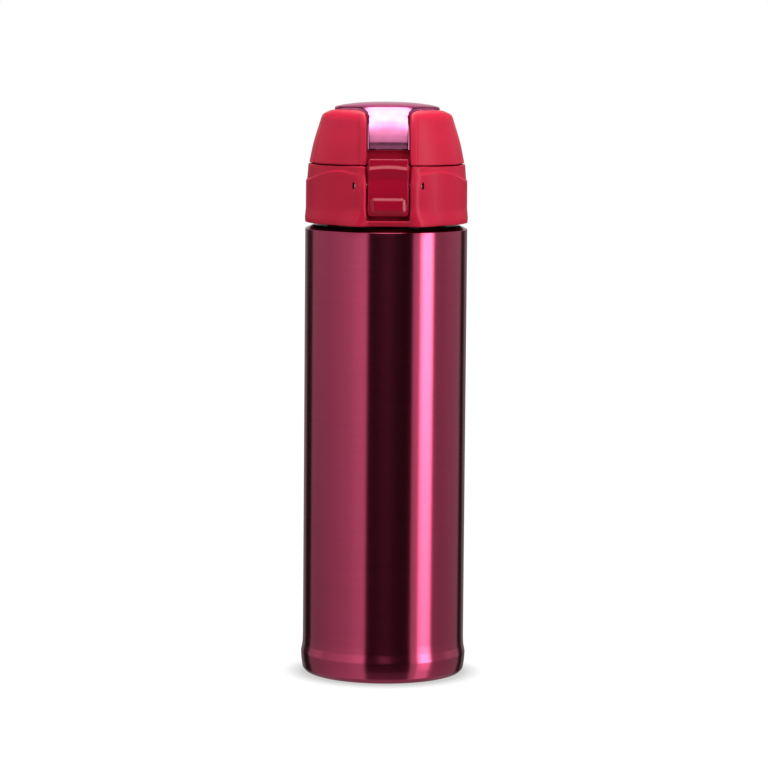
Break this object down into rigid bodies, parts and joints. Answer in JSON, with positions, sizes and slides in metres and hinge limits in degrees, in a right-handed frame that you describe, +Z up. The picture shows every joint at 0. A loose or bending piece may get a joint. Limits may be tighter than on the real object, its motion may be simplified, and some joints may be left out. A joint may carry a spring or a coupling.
{
  "type": "insulated flip-top bottle",
  "caption": "Double-walled vacuum bottle with a screw cap, a push-button release and a sprung flip lid over a drinking spout.",
  "frame": {"origin": "centre of the base, on the surface the bottle stands on", "axes": "+Z up along the bottle's axis, -Y towards the release button, +Y towards the lid's hinge, +X to the right seen from the front"},
  "size_m": [0.0664, 0.0668, 0.2302],
  "materials": {
    "body_lacquer": "brushed steel under a clear raspberry lacquer, satin gloss",
    "bare_steel": "satin",
    "foil": "bright",
    "red_plastic": "moulded red, glossy",
    "pink_chrome": "pink-tinted bright plating",
    "grey_plastic": "moulded, satin",
    "silicone": "translucent white silicone",
    "spring_steel": "drawn wire"
  },
  "bodies": {
    "flask": {"outer_shell": "body_lacquer", "outer_bottom": "bare_steel", "base_plate": "bare_steel", "vacuum_seal": "bare_steel", "inner_liner": "bare_steel", "liner_bottom": "bare_steel", "foil_shield": "foil", "getter": "bare_steel"},
    "seal_ring": {"mouth_gasket": "silicone"},
    "cap": {"cap_housing": "red_plastic", "stopper": "grey_plastic", "spout": "grey_plastic", "spout_gasket": "silicone", "air_vent": "silicone", "hinge_pin": "bare_steel", "lid_spring": "spring_steel", "button_pin": "bare_steel", "button_spring": "spring_steel"},
    "lid": {"lid_shell": "red_plastic", "lid_trim": "pink_chrome", "lid_liner": "grey_plastic", "spout_seal": "silicone"},
    "button": {"release_button": "red_plastic"}
  },
  "joints": [
    {"name": "cap_lift", "type": "slide", "parent": "flask", "child": "seal_ring", "axis": [0, 0, 1], "range_m": [0, 0.024]},
    {"name": "cap_unscrew", "type": "hinge", "parent": "seal_ring", "child": "cap", "pos_m": [0, 0, 0.19], "axis": [0, 0, 1], "range_deg": [0, 1080]},
    {"name": "lid_hinge", "type": "hinge", "parent": "cap", "child": "lid", "pos_m": [0, 0.031, 0.2059], "axis": [-1, 0, 0], "range_deg": [0, 115], "deforming": ["lid_spring"]},
    {"name": "button_press", "type": "hinge", "parent": "cap", "child": "button", "pos_m": [0, -0.0294, 0.1979], "axis": [1, 0, 0], "range_deg": [0, 7], "stiffness_Nm_per_rad": 0.12, "springref_deg": -11.46, "deforming": ["button_spring"]}
  ],
  "couplings": [
    {"joint": "cap_lift", "follows": "cap_unscrew", "m_per_rad": 0.001273}
  ]
}
